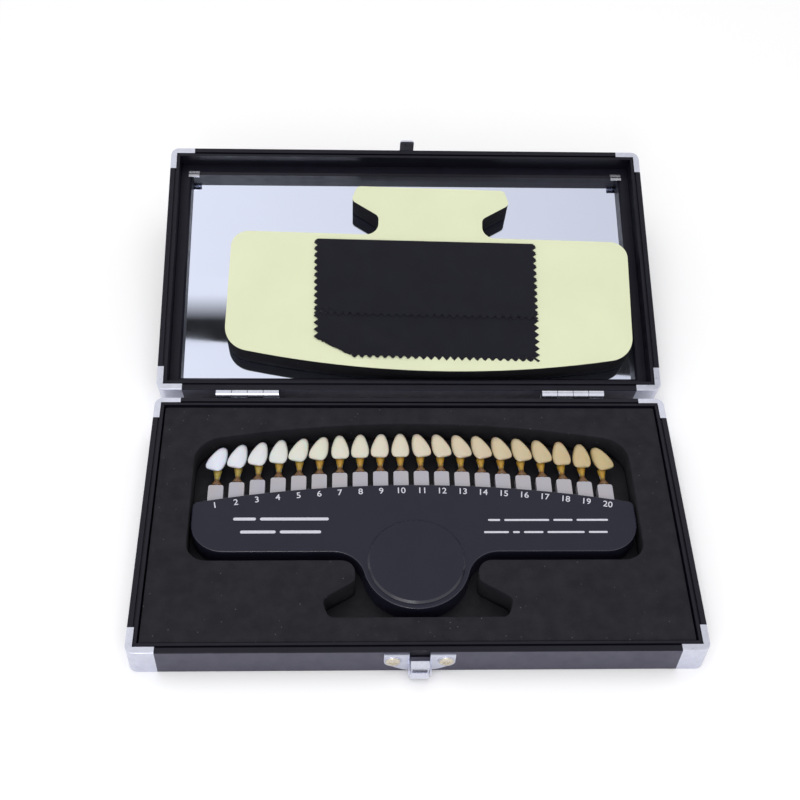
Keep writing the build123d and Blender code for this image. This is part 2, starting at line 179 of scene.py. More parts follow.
class Wiring:
    """Adds and joins the nodes of one tree."""

    def __init__(self, tree):
        self.tree = tree

    def add(self, kind, **settings):
        node = self.tree.nodes.new(kind)
        for key, value in settings.items():
            setattr(node, key, value)
        return node

    def join(self, source, target):
        self.tree.links.new(source, target)

    def between(self, value, low, high, start=0.0, end=1.0):
        """From low at start to high at end."""
        node = self.add("ShaderNodeMapRange")
        for socket, number in (("From Min", start), ("From Max", end), ("To Min", low),
                               ("To Max", high)):
            node.inputs[socket].default_value = number
        self.join(value, node.inputs["Value"])
        return node.outputs["Result"]

    def calculate(self, operation, first, second):
        node = self.add("ShaderNodeMath", operation=operation)
        for socket, value in zip(node.inputs, (first, second)):
            if isinstance(value, (int, float)):
                socket.default_value = value
            else:
                self.join(value, socket)
        return node.outputs[0]


class Finish(Wiring):
    """One Principled material whose detail is laid out in the piece's own coordinates."""

    def __init__(self, name, colour, roughness, metallic=0.0, specular=0.5):
        self.material = bpy.data.materials.new(name)
        self.material.use_nodes = True
        super().__init__(self.material.node_tree)
        self.shader = self.tree.nodes["Principled BSDF"]
        self.set("Base Color", (*colour, 1))
        self.set("Roughness", roughness)
        self.set("Metallic", metallic)
        self.set("Specular IOR Level", specular)
        self.place = self.add("ShaderNodeTexCoord").outputs["Object"]
        self.normal = None

    def set(self, socket, value):
        self.shader.inputs[socket].default_value = value
        return self

    def scaled(self, size, stretch=(1, 1, 1)):
        mapping = self.add("ShaderNodeMapping")
        mapping.inputs["Scale"].default_value = [1 / (size * s) for s in stretch]
        self.join(self.place, mapping.inputs["Vector"])
        return mapping.outputs["Vector"]

    def cloud(self, size, detail=3.0, stretch=(1, 1, 1)):
        """Noise, 0 to 1, with features of about that size."""
        node = self.add("ShaderNodeTexNoise")
        node.inputs["Scale"].default_value = 1
        node.inputs["Detail"].default_value = detail
        self.join(self.scaled(size, stretch), node.inputs["Vector"])
        return node.outputs["Fac"]

    def cells(self, size):
        """Distance from the nearest of many points, about that size apart."""
        node = self.add("ShaderNodeTexVoronoi")
        node.inputs["Scale"].default_value = 1
        self.join(self.scaled(size), node.inputs["Vector"])
        return node.outputs["Distance"]

    def weave(self, size, direction):
        """Threads, 0 to 1, that are that size apart."""
        node = self.add("ShaderNodeTexWave", bands_direction=direction)
        node.inputs["Scale"].default_value = 1 / (2 * math.pi)
        node.inputs["Distortion"].default_value = 0.4
        self.join(self.scaled(size / (2 * math.pi)), node.inputs["Vector"])
        return node.outputs["Fac"]

    def along(self, axis, start, end, low=0.0, high=1.0):
        """From low at start to high at end along the piece's own axis."""
        split = self.add("ShaderNodeSeparateXYZ")
        self.join(self.place, split.inputs[0])
        return self.between(split.outputs[axis], low, high, start, end)

    def mix(self, share, low, high):
        """A colour between two colours, which are values or sockets."""
        node = self.add("ShaderNodeMix", data_type="RGBA")
        self.join(share, node.inputs["Factor"])
        for socket, value in ((node.inputs[6], low), (node.inputs[7], high)):
            if isinstance(value, bpy.types.NodeSocket):
                self.join(value, socket)
            else:
                socket.default_value = (*value, 1)
        return node.outputs[2]

    def paint(self, colour_socket):
        self.join(colour_socket, self.shader.inputs["Base Color"])
        return self

    def polish(self, value, low, high):
        """Roughness that varies with the value between low and high."""
        self.join(self.between(value, low, high, 0.3, 0.7), self.shader.inputs["Roughness"])
        return self

    def relief(self, value, height, strength=1.0):
        """Raises the surface by up to `height` where value is 1, on top of earlier relief."""
        node = self.add("ShaderNodeBump")
        node.inputs["Strength"].default_value = strength
        node.inputs["Distance"].default_value = height
        self.join(value, node.inputs["Height"])
        if self.normal is not None:
            self.join(self.normal, node.inputs["Normal"])
        self.normal = node.outputs["Normal"]
        self.join(self.normal, self.shader.inputs["Normal"])
        return self

    def mottled(self, colour, spread, size, detail=3.0):
        """The colour, darker and lighter by a share in patches of that size."""
        patches = self.between(self.cloud(size, detail), 0, 1, 0.3, 0.7)
        darker, lighter = (tinted(colour, (f, f, f)) for f in (1 - spread, 1 + spread))
        return self.paint(self.mix(patches, darker, lighter))


def surface(name, colour, roughness, spread, patch, patch_detail=3.0, grain=None,
            grain_detail=4.0, rough=(0, 1), **kind):
    """A finish with colour patches and, where a grain is given, an uneven polish."""
    finish = Finish(name, colour, roughness, **kind).mottled(colour, spread, patch, patch_detail)
    return finish.polish(finish.cloud(grain, grain_detail), *rough) if grain else finish


def tinted(colour, factors):
    """The colour with its red, green and blue multiplied."""
    return tuple(min(1, part * factor) for part, factor in zip(colour, factors))


def dress(finish, *names):
    """Gives CAD pieces' own material slots their finish."""
    for name in names:
        nodes[name].material_slots[0].material = finish.material


def dress_faces(node, finish, chosen):
    """Gives the chosen faces of a CAD piece a second finish."""
    mesh = nodes[node].data
    mesh.materials.append(finish.material)
    for face in mesh.polygons:
        if chosen(face):
            face.material_index = 1


def linked(name, data):
    """A new object in the scene."""
    piece = bpy.data.objects.new(name, data)
    bpy.context.scene.collection.objects.link(piece)
    return piece


def baked(piece):
    """An object's mesh as its modifiers or its text make it."""
    bpy.context.view_layer.update()
    return bpy.data.meshes.new_from_object(
        piece.evaluated_get(bpy.context.evaluated_depsgraph_get()))


def add_piece(name, mesh, finish, body, smooth=True):
    """A modelled piece that rides on a CAD body."""
    piece = linked(name, mesh)
    mesh.materials.clear()
    mesh.materials.append(finish.material)
    for face in mesh.polygons:
        face.use_smooth = smooth
    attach(piece, body)
    return piece


def mesh_from(name, points, faces):
    """A mesh with its faces turned outwards."""
    mesh = bpy.data.meshes.new(name)
    mesh.from_pydata([tuple(p) for p in points], [], faces)
    work = bmesh.new()
    work.from_mesh(mesh)
    bmesh.ops.remove_doubles(work, verts=work.verts, dist=1e-7)
    bmesh.ops.recalc_face_normals(work, faces=work.faces)
    work.to_mesh(mesh)
    work.free()
    return mesh


def ring_faces(start, count, rows):
    """Quads between rows of that many points, each row a closed ring."""
    return [(start + r * count + k, start + r * count + (k + 1) % count,
             start + (r + 1) * count + (k + 1) % count, start + (r + 1) * count + k)
            for r in range(rows - 1) for k in range(count)]


def skinned(name, rows):
    """A closed mesh over rows of points, its first and last row closed."""
    count = len(rows[0])
    points = [p for row in rows for p in row]
    faces = ring_faces(0, count, len(rows))
    faces.append(tuple(range(count)))
    faces.append(tuple(range(len(points) - count, len(points))))
    return mesh_from(name, points, faces)


def lid_place():
    """The open lid's own frame: x along the hinges, y away from them, z out of the mirror."""
    mesh = nodes["mirror"].data
    face = max((p for p in mesh.polygons if p.normal.z > 0.5), key=lambda p: p.area)
    out = face.normal.copy()
    away = out.cross(Vector((1, 0, 0))).normalized()
    points = [v.co for v in mesh.vertices]
    height = max(out.dot(p) for p in points)
    start = min(away.dot(p) for p in points)
    place = Matrix((Vector((1, 0, 0)), away, out)).transposed().to_4x4()
    place.translation = away * start + out * height
    return place


def face_outlines(node, to_local):
    """Outlines of a CAD piece's uppermost flat face, each with the material on its left."""
    mesh = nodes[node].data
    points = [to_local @ v.co for v in mesh.vertices]
    top = max(p.z for p in points)
    following = {}
    for polygon in mesh.polygons:
        if all(abs(points[i].z - top) < 1e-6 for i in polygon.vertices):
            ring = [(round(points[i].x, 7), round(points[i].y, 7)) for i in polygon.vertices]
            for a, b in zip(ring, ring[1:] + ring[:1]):
                if a in following.get(b, ()):
                    following[b].remove(a)
                else:
                    following.setdefault(a, []).append(b)
    outlines = []
    while any(following.values()):
        start = point = next(a for a, ends in following.items() if ends)
        outline = []
        while following.get(point):
            outline.append(point)
            point = following[point].pop()
            if point == start:
                break
        outlines.append(outline)
    return outlines


def evenly_spaced(outline, step):
    """Points round a closed outline, about `step` apart."""
    ring = np.array(outline + outline[:1])
    travelled = np.concatenate([[0], np.cumsum(np.linalg.norm(np.diff(ring, axis=0), axis=1))])
    count = max(12, round(travelled[-1] / step))
    places = np.linspace(0, travelled[-1], count, endpoint=False)
    return np.stack([np.interp(places, travelled, ring[:, k]) for k in (0, 1)], axis=1)


def inside(points, loops):
    """Which points lie in the material between the loops."""
    hits = np.zeros(len(points), int)
    for loop in loops:
        a, b = loop, np.roll(loop, -1, axis=0)
        for (ax, ay), (bx, by) in zip(a, b):
            crosses = (ay > points[:, 1]) != (by > points[:, 1])
            with np.errstate(divide="ignore", invalid="ignore"):
                at = ax + (points[:, 1] - ay) * (bx - ax) / (by - ay)
            hits += crosses & (points[:, 0] < at)
    return hits % 2 == 1


def filled(loops, step=None):
    """Triangles between flat loops, over evenly spread points where a step is given."""
    points = np.concatenate(loops)
    if step:
        low, high = points.min(0), points.max(0)
        rows = np.arange(low[1], high[1], step * math.sqrt(3) / 2)
        spread = [(x + (index % 2) * step / 2, y) for index, y in enumerate(rows)
                  for x in np.arange(low[0], high[0], step)]
        spread = np.array(spread)
        spread = spread[inside(spread, loops)]
        near = [np.min(np.sum((points - p) ** 2, axis=1)) for p in spread]
        spread = spread[np.array(near) > (0.7 * step) ** 2]
        points = np.concatenate([points, spread])
    edges, start = [], 0
    for loop in loops:
        edges += [(start + i, start + (i + 1) % len(loop)) for i in range(len(loop))]
        start += len(loop)
    corners, _, triangles, origin, _, _ = geometry.delaunay_2d_cdt(
        [Vector(p) for p in points], edges, [], 1, 1e-9, True)
    centres = np.array([sum((corners[i] for i in t), Vector((0, 0))) / len(t)
                        for t in triangles])
    keep = inside(centres, loops)
    faces = [[origin[i][0] for i in t] for t, kept in zip(triangles, keep) if kept]
    return points, faces


# Length of the waves in the foam's cut walls and on its top.
WALL_WAVE, TOP_WAVE = 9 * MM, 14 * MM


def soft_slab(name, outlines, bottom, top, to_world):
    """A slab of cut foam: slightly wavy walls, a rounded upper lip and an uneven top."""
    s = sizes()
    step, lip, wave = s.foam_step, s.foam_lip, s.foam_unevenness
    levels = [(0, bottom + (top - lip - bottom) * k / 5) for k in range(6)]
    for k in range(1, 5):
        turn = math.radians(90 * k / 4)
        levels.append((lip * (1 - math.cos(turn)), top - lip + lip * math.sin(turn)))
    points, faces, top_loops, bottom_loops = [], [], [], []
    for outline in outlines:
        loop = evenly_spaced(outline, step)
        travel = np.roll(loop, -1, axis=0) - np.roll(loop, 1, axis=0)
        into = np.stack([-travel[:, 1], travel[:, 0]], axis=1)
        into /= np.linalg.norm(into, axis=1)[:, None]
        count, start = len(loop), len(points)
        for offset, z in levels:
            for place, push in zip(loop, into):
                sway = noise.noise(Vector((*place, z)) / WALL_WAVE) * wave * 0.8
                x, y = place + push * (offset + abs(sway))
                points.append((x, y, z))
        faces += ring_faces(start, count, len(levels))
        last = start + (len(levels) - 1) * count
        top_loops.append(np.array([p[:2] for p in points[last:last + count]]))
        bottom_loops.append(np.array([p[:2] for p in points[start:start + count]]))
    for loops, z, spread in ((top_loops, top, step * 1.3), (bottom_loops, bottom, None)):
        flat, triangles = filled(loops, spread)
        rim_count, start = sum(len(loop) for loop in loops), len(points)
        for index, (x, y) in enumerate(flat):
            lift = 0 if index < rim_count or z == bottom else (
                noise.noise(Vector((x, y, 0)) / TOP_WAVE) - 0.5) * wave
            points.append((x, y, z + lift))
        faces += [tuple(start + i for i in t) for t in triangles]
    mesh = mesh_from(name, points, faces)
    mesh.transform(to_world)
    return mesh


def foam_finish():
    c = colours()
    darker, lighter, fleck = (tinted(c.foam, (f, f, f)) for f in (0.84, 1.16, 5))
    foam = Finish("charcoal_foam", c.foam, 0.95, specular=0.12)
    pores = foam.between(foam.cells(0.55 * MM), 0, 1, 0.0, 0.55)
    patches = foam.between(foam.cloud(6 * MM, 4), 0, 1, 0.3, 0.7)
    flecks = foam.between(foam.cells(2.3 * MM), 1, 0, 0.07, 0.13)
    rare = foam.between(foam.cloud(3.5 * MM, 1), 0, 1, 0.56, 0.62)
    share = foam.calculate("MULTIPLY", flecks, rare)
    foam.paint(foam.mix(share, foam.mix(patches, darker, lighter), fleck))
    foam.relief(pores, 0.10 * MM, 0.55).relief(foam.cloud(0.9 * MM, 3), 0.12 * MM, 0.5)
    return foam


class SHADE_GUIDE_OT_case(bpy.types.Operator):
    """Finishes the black mouldings and panels of the base and the lid, with the mouldings' outer
    walls lightened by a painted reflection of the floor
    """
    bl_idname = "shade_guide.case"
    bl_label = "Case Frames and Panels"

    def execute(self, context):
        c = colours()
        trim = surface("black_trim", c.trim, 0.36, spread=0.12, patch=9 * MM, grain=5 * MM,
                       rough=(0.28, 0.44), specular=0.2)
        trim.relief(trim.cloud(0.35 * MM, 2), 0.012 * MM, 0.5)
        dress(trim, "base_frame", "lid_frame", "mirror_bezel")
        # The outer upright walls are lighter than the trim: a painted reflection of the floor, not
        # a different material.
        painted_reflection_wall = surface("satin_wall", c.painted_reflection_wall, 0.4, spread=0.08, patch=9 * MM, grain=5 * MM,
                       rough=(0.32, 0.48))
        painted_reflection_wall.relief(painted_reflection_wall.cloud(0.35 * MM, 2), 0.012 * MM, 0.5)
        self.dress_walls("base_frame", painted_reflection_wall, Matrix.Identity(4))
        self.dress_walls("lid_frame", painted_reflection_wall, lid_place().inverted())
        board = surface("black_board", c.panel, 0.6, spread=0.2, patch=4 * MM, patch_detail=5,
                        grain=2 * MM, grain_detail=3, rough=(0.5, 0.7), specular=0.3)
        board.relief(board.cells(0.8 * MM), 0.05 * MM, 0.5)
        dress(board, "base_panel", "lid_panel")
        return {"FINISHED"}

    def dress_walls(self, node, finish, to_local):
        """Gives a frame's outer upright walls their own finish, whose lighter colour is a painted
        reflection of the bright floor.
        """
        points = np.array([to_local @ v.co for v in nodes[node].data.vertices])
        low, high = points.min(0), points.max(0)

        def outer(face):
            x, y, _ = to_local @ face.center
            outermost = min(x - low[0], high[0] - x, y - low[1], high[1] - y)
            return outermost < 0.1 * MM and abs((to_local.to_3x3() @ face.normal).z) < 0.3

        dress_faces(node, finish, outer)


class SHADE_GUIDE_OT_metal(bpy.types.Operator):
    """Finishes the plated metal and adds the latch screws in their cups"""
    bl_idname = "shade_guide.metal"
    bl_label = "Corners, Hinges and Latch"

    def execute(self, context):
        c, s = colours(), sizes()
        plated = surface("bright_plate", c.metal, 0.34, spread=0.05, patch=3 * MM,
                         grain=1.5 * MM, rough=(0.26, 0.42), metallic=1.0)
        plated.relief(plated.cloud(0.5 * MM, 4, (6, 1, 1)), 0.008 * MM, 0.6)
        dress(plated, "base_corners", "lid_corners", "latch_plate", "lid_catch")
        chrome = surface("hinge_plate", c.metal, 0.18, spread=0.05, patch=2 * MM,
                         grain=1.2 * MM, rough=(0.12, 0.26), metallic=1.0)
        dress(chrome, "hinge_base_leaves", "hinge_lid_leaves", "latch_lever")
        steel = surface("pin_steel", c.pin, 0.3, spread=0.1, patch=2 * MM, grain=1 * MM,
                        grain_detail=3, rough=(0.22, 0.4), metallic=1.0)
        dress(steel, "hinge_pins", "latch_pin")
        brass = surface("screw_plate", c.screw, 0.3, spread=0.08, patch=1.2 * MM,
                        grain=0.8 * MM, grain_detail=3, rough=(0.22, 0.4), metallic=1.0)
        face_y = min(v.co.y for v in nodes["latch_plate"].data.vertices
                     if abs(v.co.x) > 8 * MM)
        screw_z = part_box("latch_plate")[1].z - s.screw_drop
        cup, head = s.screw_cup / 2, s.screw_head / 2
        cup_profile = [(cup, 0), (cup, 0.12 * MM), (cup - 0.25 * MM, 0.3 * MM),
                       (head + 0.1 * MM, 0.08 * MM), (0.2 * MM, 0.05 * MM)]
        for side, word in ((-1, "left"), (1, "right")):
            place = Matrix.Translation((side * s.screw_spacing / 2, face_y, screw_z))
            place = place @ Matrix.Rotation(math.radians(90), 4, "X")
            mesh = turned_piece(f"latch_screw_cup_{word}", cup_profile, place)
            add_piece(mesh.name, mesh, plated, "base")
            mesh = crossed_head(f"latch_screw_{word}", head, s.screw_height, place)
            add_piece(mesh.name, mesh, brass, "base", smooth=False)
        return {"FINISHED"}


def turned_piece(name, profile, place, sides=40):
    """A shallow round piece from (radius, height) points, closed underneath."""
    turns = [2 * math.pi * k / sides for k in range(sides)]
    mesh = skinned(name, [[(radius * math.cos(turn), radius * math.sin(turn), height)
                           for turn in turns] for radius, height in profile])
    mesh.transform(place)
    return mesh


def crossed_head(name, radius, height, place):
    """A low domed screw head with a cross recess."""
    profile = [(radius, 0.05 * MM), (radius, 0.35 * height)]
    for k in range(1, 7):
        turn = math.radians(15 * k)
        profile.append((max(radius * math.cos(turn), 0.02 * MM),
                        0.35 * height + 0.65 * height * math.sin(turn)))
    head = linked(name, turned_piece(name, profile, Matrix.Identity(4)))
    slot_length, slot_width = radius * 1.05, radius * 0.3
    cutters = []
    for long, wide in ((slot_length, slot_width), (slot_width, slot_length)):
        x, y = long / 2, wide / 2
        ring = ((-x, -y), (x, -y), (x, y), (-x, y))
        tool = linked("cutter", skinned("cutter", [
            [(*corner, z) for corner in ring] for z in (height / 2, height * 1.5)]))
        cut = head.modifiers.new("cross", "BOOLEAN")
        cut.operation, cut.object, cut.solver = "DIFFERENCE", tool, "EXACT"
        cutters.append(tool)
    result = baked(head)
    for unwanted in (head, *cutters):
        bpy.data.objects.remove(unwanted)
    result.name = name
    result.transform(place)
    return result


class SHADE_GUIDE_OT_foam(bpy.types.Operator):
    """Models the foam insert, and the blank cut from it with its backing paper"""
    bl_idname = "shade_guide.foam"
    bl_label = "Foam and Blank"

    def execute(self, context):
        c = colours()
        foam = foam_finish()
        for name, node, body, place in (
                ("foam_bed", "foam_insert", "base", Matrix.Identity(4)),
                ("foam_cutout", "foam_blank", "lid", lid_place())):
            to_local = place.inverted()
            heights = [(to_local @ v.co).z for v in nodes[node].data.vertices]
            mesh = soft_slab(name, face_outlines(node, to_local), min(heights), max(heights),
                             place)
            piece = add_piece(name, mesh, foam, body)
            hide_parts(node)
        paper = surface("release_paper", c.liner, 0.5, spread=0.025, patch=30 * MM,
                        patch_detail=5, grain=8 * MM, rough=(0.42, 0.58), specular=0.35)
        paper.relief(paper.cloud(0.4 * MM, 3), 0.01 * MM, 0.4)
        paper.relief(paper.cloud(40 * MM, 2), 0.5 * MM, 0.3)
        dress(paper, "release_liner")
        return {"FINISHED"}


class SHADE_GUIDE_OT_plate(bpy.types.Operator):
    """Finishes the handle plate and prints its numbers and plain rules"""
    bl_idname = "shade_guide.plate"
    bl_label = "Handle Plate and Print"

    def execute(self, context):
        c, s = colours(), sizes()
        plate = surface("plate_moulding", c.plate, 0.42, spread=0.06, patch=12 * MM,
                        grain=3 * MM, rough=(0.36, 0.5), specular=0.22)
        plate.relief(plate.cells(0.9 * MM), 0.035 * MM, 0.5)
        plate.relief(plate.cloud(0.3 * MM, 2), 0.015 * MM, 0.5)
        dress(plate, "guide_plate")
        rim = surface("plate_edges", c.plate, 0.25, spread=0.06, patch=12 * MM,
                      grain=3 * MM, rough=(0.2, 0.32), specular=0.6)
        dress_faces("guide_plate", rim, lambda face: 0.1 < face.normal.z < 0.97)
        ink = surface("white_print", c.ink, 0.6, spread=0.06, patch=0.8 * MM, specular=0.3)
        for index in range(TAB_COUNT):
            x, edge, lean = plate_edge(index)
            mesh = number_mesh(str(index + 1), s.number_height, s.print_thickness)
            drop = Vector((math.sin(lean), -math.cos(lean), 0)) * s.number_drop
            mesh.transform(Matrix.Translation(Vector((x, edge, PLATE_TOP)) + drop)
                           @ Matrix.Rotation(lean, 4, "Z"))
            add_piece(f"number_{index + 1:02d}", mesh, ink, "base", False)
        rules = []
        for x0, y, thick, words in PRINT_RULES:
            x = x0
            for word in words:
                rules.append((x, y, word, thick))
                x += word + RULE_GAP
        mesh = rule_mesh("printed_rules", rules, s.print_thickness)
        add_piece(mesh.name, mesh, ink, "base", False)
        return {"FINISHED"}


RULE_GAP = 1.8 * MM
PRINT_RULES = [
    (-80.0 * MM, 0.2 * MM, 1.5 * MM, (10.0 * MM, 30.2 * MM)),
    (-76.6 * MM, -6.6 * MM, 1.5 * MM, (15.5 * MM, 18.0 * MM)),
    (32.3 * MM, -0.5 * MM, 1.0 * MM, (5.4 * MM, 20.0 * MM, 8.6 * MM, 14.0 * MM)),
    (30.1 * MM, -6.9 * MM, 1.0 * MM, (11.0 * MM, 3.0 * MM, 8.6 * MM, 16.5 * MM, 8.4 * MM)),
]


def plate_edge(index):
    """A tab's x, the y of the plate's upper edge there, and the edge's slope."""
    low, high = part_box(f"tab_{index + 1:02d}")
    x = (low.x + high.x) / 2
    reach, depth = 12 * MM, 4 * MM
    near = [v.co for v in nodes["guide_plate"].data.vertices
            if v.co.z > PLATE_TOP - 0.02 * MM and v.co.y > 0 and abs(v.co.x - x) < reach]
    upper = max(p.y for p in near) - depth
    curve = np.polyfit(*zip(*[(p.x, p.y) for p in near if p.y > upper]), 1)
    return x, float(np.polyval(curve, x)), math.atan(curve[0])


# A font's size and extra weight, as shares of the height of its digits.
FONT_SIZE, FONT_WEIGHT = 1.38, 0.012


def number_mesh(text, height, thickness):
    """A plain number as a thin solid, its middle at the origin."""
    curve = bpy.data.curves.new("number", "FONT")
    curve.body = text
    curve.size = height * FONT_SIZE
    curve.offset = height * FONT_WEIGHT
    curve.extrude = thickness / 2
    curve.resolution_u = 4
    letters = linked("number", curve)
    mesh = baked(letters)
    bpy.data.objects.remove(letters)
    corners = np.array([v.co for v in mesh.vertices])
    middle = (corners.min(0) + corners.max(0)) / 2
    mesh.transform(Matrix.Translation((-middle[0], -middle[1], thickness / 2)))
    mesh.name = "number"
    return mesh


def rule_mesh(name, rules, thickness):
    """Printed rules with round ends, as one thin mesh."""
    points, faces = [], []
    for x, y, length, thick in rules:
        outline = []
        for end, centre in ((0, x + length - thick / 2), (1, x + thick / 2)):
            for k in range(9):
                turn = math.radians(-90 + 180 * end + 22.5 * k)
                outline.append((centre + thick / 2 * math.cos(turn),
                                y + thick / 2 * math.sin(turn)))
        start, count = len(points), len(outline)
        points += [(px, py, PLATE_TOP) for px, py in outline]
        points += [(px, py, PLATE_TOP + thickness) for px, py in outline]
        faces.append(tuple(range(start, start + count)))
        faces.append(tuple(range(start + count, start + 2 * count)))
        faces += ring_faces(start, count, 2)
    return mesh_from(name, points, faces)


class SHADE_GUIDE_OT_tabs(bpy.types.Operator):
    """Finishes the teeth from the lightest to the darkest shade, with their stems and blocks"""
    bl_idname = "shade_guide.tabs"
    bl_label = "Shade Tabs"

    def execute(self, context):
        c = colours()
        block = Finish("tab_block", c.block, 0.45, specular=0.45)
        warm = block.between(block.cloud(7 * MM, 1), 0, 1, 0.35, 0.65)
        cool = block.between(block.cloud(11 * MM, 1, (1, 4, 4)), 0, 0.6, 0.45, 0.65)
        block.paint(block.mix(cool, block.mix(warm, c.block, tinted(c.block, WARM_GREY)),
                              tinted(c.block, COOL_GREY)))
        block.polish(block.cloud(1.5 * MM), 0.36, 0.52)
        block.relief(block.cloud(0.6 * MM, 3), 0.03 * MM, 0.5)
        for index in range(TAB_COUNT):
            tab, body, tooth, stem_name, crown_name = (
                f"{word}_{index + 1:02d}" for word in ("tab", "shade", "tooth", "stem", "crown"))
            dress(block, tab)
            shoulder = self.shoulder_of(nodes[tab])
            stem = stem_mesh(stem_name, tab, shoulder)
            resin = self.stem_finish(stem_name, index, shoulder)
            add_piece(stem_name, stem, resin, body)
            crown = crown_mesh(crown_name, tooth)
            porcelain = self.tooth_finish(tooth, index / (TAB_COUNT - 1))
            piece = add_piece(crown_name, crown, porcelain, body)
            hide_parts(tooth)
        return {"FINISHED"}

    def shoulder_of(self, tab):
        """Where the stem begins: the far end of the block's flat top."""
        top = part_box(tab.name)[1].z
        return max(v.co.y for v in tab.data.vertices if v.co.z > top - 0.05 * MM)

    def stem_finish(self, name, index, shoulder):
        """Amber resin, paler on the light tabs and darker at its foot."""
        c = colours()
        amber = blend(c.stem_light, c.stem_pale, max(0, 1 - index / PALE_STEMS))
        stem = Finish(name, amber, 0.32, specular=0.35)
        foot = stem.along("Y", *(shoulder + step for step in STEM_FOOT))
        uneven = stem.calculate("ADD", foot, stem.between(stem.cloud(1.5 * MM), -0.25, 0.25))
        stem.paint(stem.mix(uneven, c.stem_dark, amber))
        stem.polish(stem.cloud(1 * MM), 0.26, 0.42)
        stem.set("Subsurface Weight", 0.35).set("Subsurface Scale", 1.5 * MM)
        stem.set("Coat Weight", 0.1).set("Coat Roughness", 0.2)
        stem.relief(stem.cloud(1.2 * MM), 0.02 * MM, 0.3)
        return stem

    def tooth_finish(self, node, share):
        """Porcelain of one shade, a share of the way along the row, greyer and darker at its neck:
        partly the porcelain's own grey and partly painted shade.
        """
        c = colours()
        stops = (c.shade_a, c.shade_b, c.shade_c, c.shade_d, c.shade_e)
        at = min(3.999, 4 * share)
        shade = blend(stops[int(at)], stops[int(at) + 1], at - int(at))
        low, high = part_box(node)
        tooth = Finish(node.replace("tooth", "porcelain"), shade, 0.28, specular=0.5)
        neck = tooth.along("Y", low.y, high.y)
        body = tooth.between(tooth.cloud(4.0 * MM, 2, (1, 2.5, 1)), -0.10, 0.10)
        crown = tooth.mix(tooth.calculate("ADD", neck, body), tinted(shade, EDGE_TINT),
                          tinted(shade, BODY_TINT))
        # Towards the neck the colour turns greyer and darker: partly the porcelain's own grey,
        # partly painted shade.
        end = tooth.between(tooth.calculate("ADD", neck, body), 0, 1, 0.68, 1.08)
        tooth.paint(tooth.mix(end, crown, tinted(shade, NECK_GREY_AND_PAINTED_SHADE)))
        tooth.polish(tooth.cloud(2.5 * MM), 0.16, 0.26)
        tooth.relief(tooth.cloud(2.5 * MM, 1, (1, 3, 1)), 0.03 * MM, 0.3)
        tooth.set("Subsurface Weight", 0.3).set("Subsurface Scale", 1.2 * MM)
        tooth.set("Coat Weight", 0.6).set("Coat Roughness", 0.06)
        return tooth


# Shares of red, green and blue that tint the blocks and the parts of a tooth.
WARM_GREY, COOL_GREY = (1.04, 0.99, 0.97), (0.97, 0.96, 1.06)
# The neck's tint darkens the tooth's far end: partly its own grey, partly painted shade.
EDGE_TINT, BODY_TINT, NECK_GREY_AND_PAINTED_SHADE = (1.03, 1.03, 1.03), (0.97, 0.94, 0.88), (0.52, 0.49, 0.56)
PALE_STEMS = 6
# A stem's start and the ends of its dark foot, beyond its block, and its lap into the tooth.
STEM_START, STEM_FOOT, STEM_LAP = 0.9 * MM, (3.2 * MM, 4.8 * MM), 0.35 * MM
# An incisor from its biting edge, 0, to its neck, 1: share of the width, the face's height
# and the back's depth.
CROWN_STATIONS = (
    (0.0, 0.0, 0.0, 0.0), (0.012, 0.52, 0.20, 0.16), (0.035, 0.72, 0.30, 0.26),
    (0.08, 0.86, 0.42, 0.34), (0.15, 0.955, 0.56, 0.44), (0.25, 1.0, 0.72, 0.56),
    (0.38, 0.985, 0.87, 0.72), (0.52, 0.91, 0.97, 0.88), (0.66, 0.79, 1.0, 1.0),
    (0.78, 0.655, 0.95, 1.0), (0.88, 0.51, 0.80, 0.86), (0.95, 0.355, 0.56, 0.62),
    (0.985, 0.2, 0.32, 0.36), (1.0, 0.0, 0.0, 0.0))
# A stem from its block, 0, to the tooth, 1: half its width, its top and its underside.
STEM_STATIONS = (
    (0.0, 2.45, 2.35, -2.42), (0.08, 2.15, 2.25, -2.15), (0.18, 1.74, 2.05, -1.80),
    (0.30, 1.30, 1.72, -1.40), (0.43, 1.06, 1.46, -1.12), (0.56, 1.18, 1.46, -1.18),
    (0.78, 1.62, 1.85, -1.50), (1.0, 1.95, 2.2, -1.8))


def smooth_stations(stations, share):
    """The stations' values at a share of the length, along a smooth curve through them."""
    last = len(stations) - 2
    k = min(last, max(0, sum(row[0] <= share for row in stations) - 1))
    a, b, c, d = (stations[min(len(stations) - 1, max(0, k + step))] for step in (-1, 0, 1, 2))
    span = c[0] - b[0]
    t = (share - b[0]) / span
    values = []
    for before, start, end, after in zip(a[1:], b[1:], c[1:], d[1:]):
        leave = (end - before) / (c[0] - a[0]) * span if k else end - start
        arrive = (after - start) / (d[0] - b[0]) * span if k < last else end - start
        values.append(start * (2 * t ** 3 - 3 * t ** 2 + 1) + leave * (t ** 3 - 2 * t ** 2 + t)
                      + end * (3 * t ** 2 - 2 * t ** 3) + arrive * (t ** 3 - t ** 2))
    return values


def squared(share, power):
    """A sine or cosine pushed outwards, so that a circle becomes fuller as power falls."""
    return math.copysign(abs(share) ** power, share)


def tooth_place(node):
    """A plain tooth's middle, its length and its tilt to the right, from its two flat ends."""
    mesh = nodes[node].data
    ends = []
    for side in (-1, 1):
        flat = [f for f in mesh.polygons if f.normal.y * side > 0.94]
        area = sum(f.area for f in flat)
        ends.append(sum((f.center * (f.area / area) for f in flat), Vector()))
    axis = ends[1] - ends[0]
    return (ends[0] + ends[1]) / 2, axis.xy.length, math.atan2(axis.x, axis.y)


